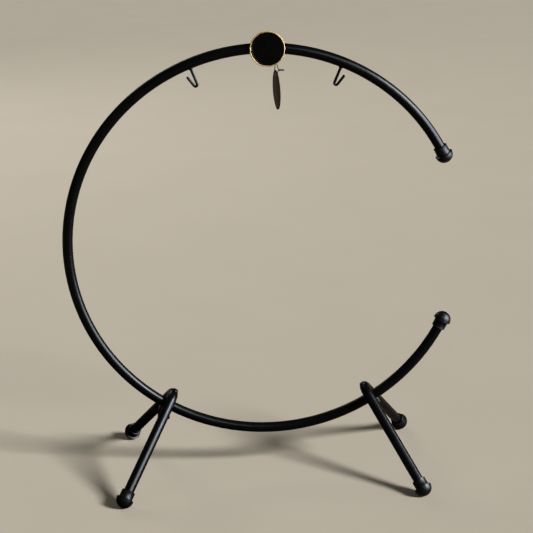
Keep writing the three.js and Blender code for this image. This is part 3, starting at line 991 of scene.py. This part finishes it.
def addTag():
    thickness = tag["thickness"]
    bm = bmesh.new()
    place = shifted(0, thickness / 2, 0) @ turned(rightAngle, "X")
    faces = discFace(bm, tag["radius"], tag["sides"], place)
    runOn(bm, faces, Vector((0, -thickness, 0)))
    soften(bm, tag["edge"], 2)
    place = shifted(0, 2 * thickness, holeHeight) @ turned(rightAngle, "X")
    punch = bmesh.new()
    faces = discFace(punch, tag["holeRadius"], tag["holeSides"], place)
    runOn(punch, faces, Vector((0, -4 * thickness, 0)))
    finishPiece("tagBoard", carved(bm, punch), tagBoard, "tag_card", tagPlace, "hang_tag")


def addEyelet():
    neck = tag["holeRadius"] - eyelet["fit"]
    bore = neck - eyelet["wall"]
    brim = tag["holeRadius"] + eyelet["flange"]
    face = tag["thickness"] / 2 + eyelet["seat"]
    middle, half = (bore + brim) / 2, (brim - bore) / 2
    roll = arcPoints(middle, face, half, 0, math.pi, eyelet["steps"])
    profile = [(neck, face), *flattened(roll, face, eyelet["proud"] / half)]
    profile += [(radius, -height) for radius, height in reversed(profile)]
    bm = lathed(profile, eyelet["sides"], closed=True)
    place = tagPlace @ shifted(0, 0, holeHeight) @ turned(rightAngle, "X")
    finishPiece("tagEyelet", bm, eyeletNickel, "tag_eyelet", place, "hang_tag")


addTag()
addEyelet()
print("tag hung")

# Hairpin legs with their clamps and feet
clamp = {
    "boltRadius": 0.005, "headRadius": 0.0095, "headHeight": 0.0045, "headEdgeShare": 0.2,
    "headSteps": 10, "tail": 0.006, "tipChamfer": 0.0008, "boltSides": 48,
    "drillPast": 0.005, "spacerHalf": 0.014, "spacerGrip": 0.0075,
    "saddleHalfLength": 0.017, "saddleHalfWidth": 0.020, "saddleGrip": 0.010,
    "saddleFloor": 0.0125, "corner": 0.003, "cornerSteps": 5, "floorShare": 0.8,
    "floorSteps": 4, "upright": 0.99, "edge": 0.0005, "washerRadius": 0.014,
    "washerThickness": 0.002, "washerEdge": 0.0004, "washerSides": 72, "seat": 0.0003,
}
thread = {
    "pitch": 0.0015, "depth": 0.0007, "length": 0.030, "sinkShare": 0.8, "start": 0.001,
    "spare": 0.002, "rootShare": 0.3, "flankShare": 0.48, "crestShare": 0.06, "steps": 28,
}
wing = {
    "hubRadius": 0.010, "hubTaper": 0.002, "hubHeight": 0.018, "hubRound": 0.0012,
    "band": [(0, 0), (0, 0.0022), (0.0006, 0.0030)],
    "hubSides": 56, "span": 0.034, "thickness": 0.005, "tipThickness": 0.0036,
    "root": 0.0065,
    "blade": [
        (0.0065, 0.0020), (0.0280, 0.0040), (0.0324, 0.0058), (0.0340, 0.0100),
        (0.0340, 0.0115), (0.0322, 0.0156), (0.0280, 0.0170), (0.0204, 0.0160),
        (0.01428, 0.0142), (0.0065, 0.0110),
    ],
    "edge": 0.0011, "edgeSteps": 4, "insert": 0.0066, "insertDrop": 0.0006,
    "boreFit": 0.0002, "turnLeft": -4, "turnRight": 78,
}
archApex = 2 * tube["radius"] + arch["seat"]
archCentre = archApex - arch["radius"]
archEndY = arch["radius"] * math.cos(legSplay)
archEndZ = archCentre + arch["radius"] * math.sin(legSplay)
footY = archEndY + (archEndZ + legs["reach"]) * math.tan(legSplay)
headSeat = archApex + tube["radius"]
washerSeat = tube["radius"] + clamp["saddleFloor"] + clamp["seat"]
nutSeat = washerSeat + clamp["washerThickness"] + clamp["seat"]
nutEnd = nutSeat + wing["hubHeight"]
boltEnd = nutEnd + clamp["tail"]


def hairpin(radius, bore=0):
    # from the front foot over the ring to the rear foot, in the leg's frame
    bm = bmesh.new()
    start = Vector((0, -footY, -legs["reach"]))
    rise = Vector((0, math.sin(legSplay), math.cos(legSplay)))
    archStart = Vector((0, -archEndY, archEndZ))
    place = Matrix.Translation(start) @ turned(-legSplay, "X")
    faces = discFace(bm, radius, tube["sides"], place, bore)
    faces = runOn(bm, faces, archStart - start)
    bend = math.pi - 2 * legSplay
    faces = turnOn(bm, faces, (0, 0, archCentre), (-1, 0, 0), bend, arch["steps"])
    runOn(bm, faces, Vector((0, rise.y, -rise.z)) * (archStart - start).length)
    return bm


def boxOn(bm, halfX, halfY, low, high):
    made = bmesh.ops.create_cube(bm, size=1)["verts"]
    bmesh.ops.scale(bm, verts=made, vec=(2 * halfX, 2 * halfY, high - low))
    bmesh.ops.translate(bm, verts=made, vec=(0, 0, (low + high) / 2))
    return made


def roundUprights(bm):
    uprights = []
    for edge in bm.edges:
        first, second = edge.verts
        if abs((first.co - second.co).normalized().z) > clamp["upright"]:
            uprights.append(edge)
    bevelled(bm, uprights, clamp["corner"], clamp["cornerSteps"])


def addSpacer(name, node, place):
    low = tube["radius"] - clamp["spacerGrip"]
    high = tube["radius"] + arch["seat"] + clamp["spacerGrip"]
    bm = bmesh.new()
    boxOn(bm, clamp["spacerHalf"], clamp["spacerHalf"], low, high)
    roundUprights(bm)
    soften(bm, clamp["edge"])
    bm = carved(bm, ringCutter(2 * clamp["saddleHalfLength"], -1))
    bm = carved(bm, hairpin(tube["radius"] + tube["seat"]))
    bm = carved(bm, boltDrill(tube["boltHole"], 0, archApex))
    finishPiece(name, bm, blackNylon, node, place)


def addSaddle(name, node, place):
    low = -tube["radius"] - clamp["saddleFloor"]
    high = clamp["saddleGrip"] - tube["radius"]
    bm = bmesh.new()
    boxOn(bm, clamp["saddleHalfLength"], clamp["saddleHalfWidth"], low, high)
    roundUprights(bm)
    floor = [e for e in bm.edges if all(v.co.z < low + mergeDistance for v in e.verts)]
    bevelled(bm, floor, clamp["corner"] * clamp["floorShare"], clamp["floorSteps"])
    soften(bm, clamp["edge"])
    bm = carved(bm, ringCutter(2 * clamp["saddleHalfLength"], -1))
    bm = carved(bm, boltDrill(tube["boltHole"], -boltEnd, 0))
    finishPiece(name, bm, blackNylon, node, place)


def addWasher(name, node, place):
    low, high = -washerSeat - clamp["washerThickness"], -washerSeat
    bore, rim = tube["boltHole"], clamp["washerRadius"]
    profile = [(bore, low), (rim, low), (rim, high), (bore, high)]
    bm = lathed(profile, clamp["washerSides"], closed=True)
    soften(bm, clamp["washerEdge"])
    finishPiece(name, bm, blackZinc, node, place)


def addBolt(name, node, place):
    outer, chamfer = clamp["boltRadius"], clamp["tipChamfer"]
    radius = outer - thread["depth"] * thread["sinkShare"]
    shank = thread["length"] - boltEnd
    edge = clamp["headEdgeShare"]
    head = []
    for step in range(clamp["headSteps"]):
        angle = rightAngle * step / clamp["headSteps"]
        rise = clamp["headHeight"] * (edge + (1 - edge) * math.sin(angle))
        head.append((clamp["headRadius"] * math.cos(angle), headSeat + rise))
    profile = [
        (0, -boltEnd),
        (radius - chamfer, -boltEnd),
        (radius, -boltEnd + chamfer),
        (radius, shank),
        (outer, shank + chamfer),
        (outer, headSeat),
        (clamp["headRadius"], headSeat),
        *head,
        (0, headSeat + clamp["headHeight"]),
    ]
    bm = lathed(profile, clamp["boltSides"])
    addThread(bm, radius)
    finishPiece(name, bm, blackZinc, node, place)


def addThread(bm, radius):
    # one ridge of thread, wound up the shank from its lower end
    pitch, depth = thread["pitch"], thread["depth"]
    middle = thread["start"] - boltEnd + pitch / 2
    root, crest = radius - depth * thread["rootShare"], radius + depth
    flank, flat = pitch * thread["flankShare"], pitch * thread["crestShare"]
    corners = [(root, -flank), (crest, -flat), (crest, flat), (root, flank)]
    face = bm.faces.new([bm.verts.new((away, 0, middle + rise)) for away, rise in corners])
    turns = int((thread["length"] - thread["spare"]) / pitch)
    steps = turns * thread["steps"]
    bmesh.ops.spin(
        bm,
        geom=[face],
        cent=(0, 0, 0),
        axis=(0, 0, 1),
        dvec=(0, 0, turns * pitch / steps),
        angle=turns * fullTurn,
        steps=steps,
    )


def addWingNut(name, body, place, turn):
    bore, insert = clamp["boltRadius"] + wing["boreFit"], wing["insert"]
    hub, tip = wing["hubRadius"], wing["hubRadius"] - wing["hubTaper"]
    height, fillet = wing["hubHeight"], wing["hubRound"]
    sunk = height - wing["insertDrop"]
    band = [(hub - inwards, rise) for inwards, rise in wing["band"]]
    top = [(tip, height - fillet), (tip - fillet, height)]
    socket = [(insert, height), (insert, sunk), (bore, sunk)]
    bm = lathed([(bore, 0), *band, *top, *socket], wing["hubSides"], closed=True)
    thickness = wing["thickness"]
    for half in (0, math.pi):
        blade = bmesh.new()
        face = blade.faces.new([blade.verts.new((x, -thickness / 2, z)) for x, z in wing["blade"]])
        runOn(blade, [face], Vector((0, thickness, 0)))
        for vert in blade.verts:
            share = (vert.co.x - wing["root"]) / (wing["span"] - wing["root"])
            vert.co.y *= 1 + (wing["tipThickness"] / thickness - 1) * share
        soften(blade, wing["edge"], wing["edgeSteps"])
        bm = carved(bm, moved(blade, turned(half, "Z")), "UNION")
    place = place @ shifted(0, 0, -nutSeat) @ turned(math.pi, "X") @ turned(math.radians(turn), "Z")
    finishPiece(name, bm, blackNylon, body, place, body)


def addFoot(name, node, legPlace, side):
    place = legPlace @ shifted(0, side * footY, -legs["reach"])
    place = place @ turned(side * (math.pi + legSplay), "X")
    bm = moved(capShape(), place @ shifted(0, 0, -caps["sleeveLength"]))
    cut = bmesh.ops.bisect_plane(
        bm,
        geom=bm.verts[:] + bm.edges[:] + bm.faces[:],
        dist=mergeDistance,
        plane_co=(0, 0, 0),
        plane_no=(0, 0, 1),
        clear_inner=True,
    )
    bmesh.ops.holes_fill(bm, edges=only(cut["geom_cut"], bmesh.types.BMEdge), sides=0)
    finishPiece(name, bm, capRubber, node)


def addLeg(sideName, side):
    place = legFrame(side)
    label = sideName.capitalize()
    bm = hairpin(tube["radius"], tube["radius"] - tube["wall"])
    bm = carved(bm, boltDrill(tube["boltHole"], 0, headSeat + clamp["drillPast"]))
    finishPiece(f"hairpinLeg{label}", bm, powderCoat, f"leg_{sideName}", place)
    clampParts = {"Spacer": addSpacer, "Saddle": addSaddle, "Washer": addWasher, "Bolt": addBolt}
    for part, add in clampParts.items():
        add(f"clamp{part}{label}", f"clamp_{part.lower()}_{sideName}", place)
    addWingNut(f"wingNut{label}", f"wing_nut_{sideName}", place, wing[f"turn{label}"])
    for end, way in (("Front", -1), ("Rear", 1)):
        addFoot(f"footCap{label}{end}", f"foot_cap_{sideName}_{end.lower()}", place, way)


addLeg("left", -1)
addLeg("right", 1)
print("legs clamped")

# Floor, light and surroundings
studio = {
    "floorSize": 60,
    "floorShader": {"Roughness": 0.9, "Specular IOR Level": 0.0},
    "patches": (2.0, 4.0, 0.5),
    "floorTone": (0.63, 0.575, 0.48, 1),
    "floorPatch": (0.60, 0.545, 0.45, 1),
    "floorBounce": (0.35, 0.304, 0.238, 1),
    "shadeBounce": (0.05, 0.042, 0.031, 1),
    "shadeCentre": (-0.6, 0.1, 0),
    "shadeReach": (0.4, 1.05),
    "airTone": (0.95, 0.93, 0.88, 1),
    "airStrength": 0.07,
    "backdropStrength": 0.50,
    "key": {"from": (3.0, -1.7, 3.0), "spread": 15, "strength": 3.2},
    "lamps": [
        ("fillLamp", (-3.4, -3.0, 2.4), (2.2, 2.2), 4),
        ("rearLamp", (-3.4, 6.6, 5.0), (3.0, 3.0), 70),
    ],
    "panes": [
        ("windowLamp", (3.1, -1.2, 1.5), (3.0, 2.6), 420),
        ("skylightLamp", (1.6, -3.0, 3.4), (1.6, 1.2), 45),
        ("fanlightLamp", (2.6, -0.1, 2.5), (1.2, 1.2), 35),
    ],
    "paneTint": (0.80, 0.89, 1.0),
}


def addStudio():
    bm = bmesh.new()
    bmesh.ops.create_grid(bm, x_segments=1, y_segments=1, size=studio["floorSize"] / 2)
    floor = asObject("studioFloor", bm)
    material, tree, shader, point = startFinish("floorPaint", studio["floorShader"])
    patches = noiseOf(tree, point, *studio["patches"])
    tone = mixed(tree, patches, studio["floorPatch"], studio["floorTone"])
    # painted shade: it throws less light back up than the camera sees, least of all beside the left
    # leg, where a darker patch stands in for shadow
    seen = addNode(tree, "ShaderNodeLightPath").outputs["Is Camera Ray"]
    away = reckonVectors(tree, "DISTANCE", point, studio["shadeCentre"])["Value"]
    lit = mapped(tree, away, *studio["shadeReach"])
    bounce = mixed(tree, lit, studio["shadeBounce"], studio["floorBounce"])
    link(tree, mixed(tree, seen, bounce, tone), shader, "Base Color")
    floor.data.materials.append(material)
    addAir()
    key = bpy.data.lights.new("keyLamp", "SUN")
    key.angle = math.radians(studio["key"]["spread"])
    key.energy = studio["key"]["strength"]
    hangLamp(key, studio["key"]["from"])
    for lamp in studio["lamps"]:
        areaLamp("DISK", *lamp)
    for lamp in studio["panes"]:
        pane = areaLamp("RECTANGLE", *lamp)
        pane.data.color = studio["paneTint"]
        pane.visible_diffuse = False  # seen only in the gloss
    bpy.context.scene.view_settings.view_transform = "Standard"
    bpy.context.scene.view_settings.look = "Medium High Contrast"


def areaLamp(shape, name, place, size, power):
    data = bpy.data.lights.new(name, "AREA")
    data.shape = shape
    data.size, data.size_y = size
    data.energy = power
    return hangLamp(data, place)


def hangLamp(data, place):
    lamp = intoScene(data.name, data)
    aim = Vector((ringAcross, 0, ringHeight)) - Vector(place)
    facing = aim.to_track_quat("-Z", "Y").to_matrix().to_4x4()
    lamp.matrix_world = Matrix.Translation(place) @ facing
    return lamp


def addAir():
    # a pale backdrop past the floor, which lights the stand only dimly
    world = bpy.data.worlds.new("studioAir")
    world.use_nodes = True
    tree = world.node_tree
    air = tree.nodes["Background"]
    air.inputs["Color"].default_value = studio["airTone"]
    seen = addNode(tree, "ShaderNodeLightPath").outputs["Is Camera Ray"]
    strength = mapped(tree, seen, 0.0, 1.0, studio["airStrength"], studio["backdropStrength"])
    link(tree, strength, air, "Strength")
    bpy.context.scene.world = world


addStudio()
print("studio lit")

bpy.context.view_layer.update()
